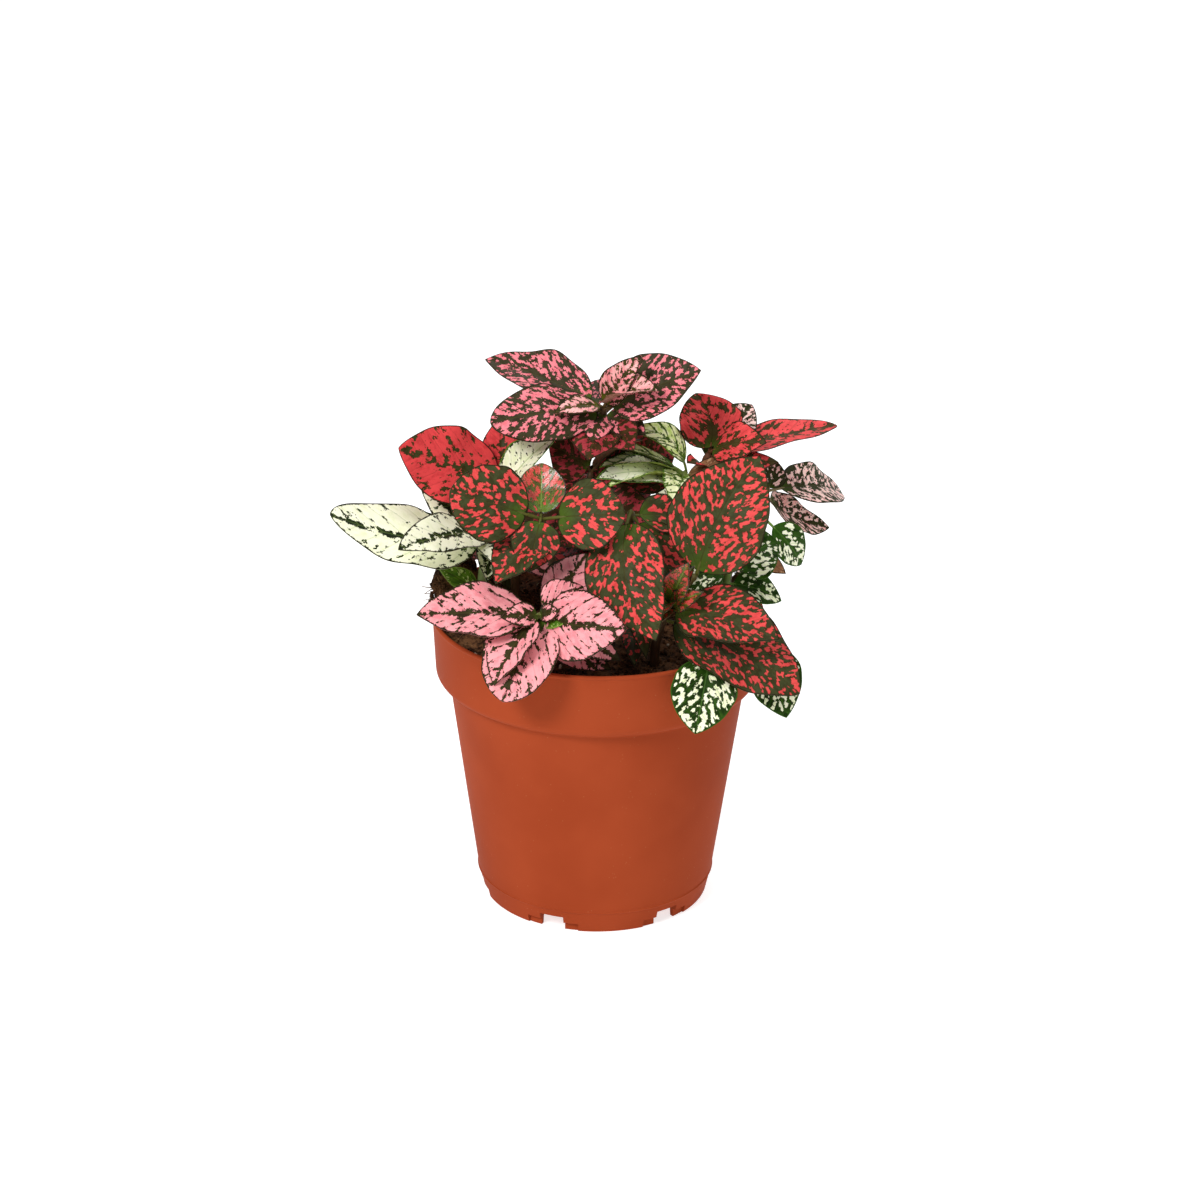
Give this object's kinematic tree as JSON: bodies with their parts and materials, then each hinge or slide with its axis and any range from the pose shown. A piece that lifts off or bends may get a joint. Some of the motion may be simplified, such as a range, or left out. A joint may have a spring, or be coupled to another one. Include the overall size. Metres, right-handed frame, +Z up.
{
  "type": "potted polka dot plant",
  "caption": "Leafy house plant with spotted pink, red, white and green leaves in a round terracotta-coloured nursery pot.",
  "frame": {"origin": "middle of the pot's foot, on the surface that the pot stands on", "axes": "+Z up along the pot's axis, -Y towards the side that the picture shows, +X to its right"},
  "size_m": [0.1855, 0.1426, 0.2063],
  "materials": {
    "pot_plastic": "satin",
    "peat": "rough",
    "rose_foliage": "satin",
    "red_foliage": "satin",
    "red_green_foliage": "satin",
    "white_foliage": "satin",
    "pink_foliage": "satin",
    "white_green_foliage": "satin",
    "blush_foliage": "satin"
  },
  "bodies": {
    "root": {"pot": "pot_plastic", "soil": "peat", "leafy_stem_rose_top": "rose_foliage", "leafy_stem_red_left": "red_foliage", "leafy_stem_red_green_centre": "red_green_foliage", "leafy_stem_white_left": "white_foliage", "leafy_stem_pink_front": "pink_foliage", "leafy_stem_red_green_middle": "red_green_foliage", "leafy_stem_red_green_right": "red_green_foliage", "leafy_stem_white_green_right": "white_green_foliage", "leafy_stem_red_right": "red_foliage", "leafy_stem_blush_right": "blush_foliage", "leafy_stem_white_back": "white_foliage", "leafy_stem_red_middle": "red_foliage", "leafy_stem_pink_back_left": "pink_foliage", "leafy_stem_red_back": "red_foliage", "leafy_stem_white_back_right": "white_foliage", "leafy_stem_rose_back_right": "rose_foliage", "leafy_stem_red_green_right_side": "red_green_foliage", "leafy_stem_red_green_back_left": "red_green_foliage"}
  },
  "joints": []
}
